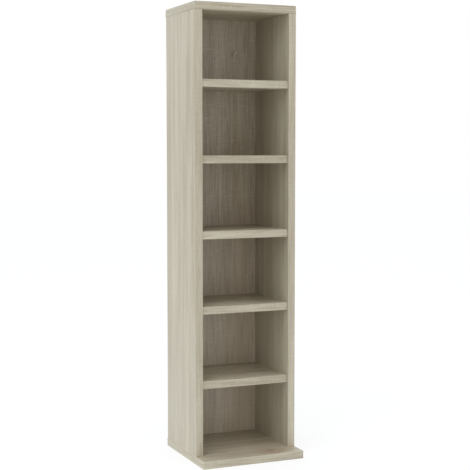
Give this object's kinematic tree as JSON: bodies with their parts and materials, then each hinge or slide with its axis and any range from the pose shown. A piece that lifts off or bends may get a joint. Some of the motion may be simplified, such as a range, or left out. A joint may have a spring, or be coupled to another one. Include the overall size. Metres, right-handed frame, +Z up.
{
  "type": "open CD storage tower",
  "caption": "Tall narrow open tower of pale oak decor boards with fixed shelves, a top over the sides, a base reaching out in front and a thin nailed back, for compact discs.",
  "frame": {"origin": "on the floor, at the middle of the base board's underside", "axes": "+Z up; -Y towards the open front; +X to the right as seen from the front; the wall behind is at +Y"},
  "size_m": [0.21, 0.2, 0.88],
  "materials": {
    "oak_decor": "satin melamine decor foil, pale grey-beige sawn oak",
    "back_decor": "printed hardboard, oak decor in front and plain behind",
    "cap_foil": "self-adhesive decor foil",
    "beech": "raw turned beech",
    "zinc_casting": "dull as-cast zinc alloy",
    "plated_steel": "bright zinc plate"
  },
  "bodies": {
    "root": {"base_panel": "oak_decor", "left_side_panel": "oak_decor", "right_side_panel": "oak_decor", "top_panel": "oak_decor", "shelf_1": "oak_decor", "shelf_2": "oak_decor", "shelf_3": "oak_decor", "shelf_4": "oak_decor", "shelf_5": "oak_decor", "back_panel": "back_decor", "shelf_1_cam_bolt_left": "plated_steel", "shelf_1_cam_bolt_right": "plated_steel", "shelf_2_cam_bolt_left": "plated_steel", "shelf_2_cam_bolt_right": "plated_steel", "shelf_3_cam_bolt_left": "plated_steel", "shelf_3_cam_bolt_right": "plated_steel", "shelf_4_cam_bolt_left": "plated_steel", "shelf_4_cam_bolt_right": "plated_steel", "shelf_5_cam_bolt_left": "plated_steel", "shelf_5_cam_bolt_right": "plated_steel", "shelf_1_cam_lock_left": "zinc_casting", "shelf_1_cam_lock_right": "zinc_casting", "shelf_2_cam_lock_left": "zinc_casting", "shelf_2_cam_lock_right": "zinc_casting", "shelf_3_cam_lock_left": "zinc_casting", "shelf_3_cam_lock_right": "zinc_casting", "shelf_4_cam_lock_left": "zinc_casting", "shelf_4_cam_lock_right": "zinc_casting", "shelf_5_cam_lock_left": "zinc_casting", "shelf_5_cam_lock_right": "zinc_casting", "shelf_1_dowel_left": "beech", "shelf_1_dowel_right": "beech", "shelf_2_dowel_left": "beech", "shelf_2_dowel_right": "beech", "shelf_3_dowel_left": "beech", "shelf_3_dowel_right": "beech", "shelf_4_dowel_left": "beech", "shelf_4_dowel_right": "beech", "shelf_5_dowel_left": "beech", "shelf_5_dowel_right": "beech", "top_screw_front_left": "plated_steel", "top_screw_front_right": "plated_steel", "top_screw_back_left": "plated_steel", "top_screw_back_right": "plated_steel", "base_screw_front_left": "plated_steel", "base_screw_front_right": "plated_steel", "base_screw_back_left": "plated_steel", "base_screw_back_right": "plated_steel", "top_screw_cap_front_left": "cap_foil", "top_screw_cap_front_right": "cap_foil", "top_screw_cap_back_left": "cap_foil", "top_screw_cap_back_right": "cap_foil", "back_nail_left_1": "plated_steel", "back_nail_left_2": "plated_steel", "back_nail_left_3": "plated_steel", "back_nail_left_4": "plated_steel", "back_nail_right_1": "plated_steel", "back_nail_right_2": "plated_steel", "back_nail_right_3": "plated_steel", "back_nail_right_4": "plated_steel"}
  },
  "joints": []
}
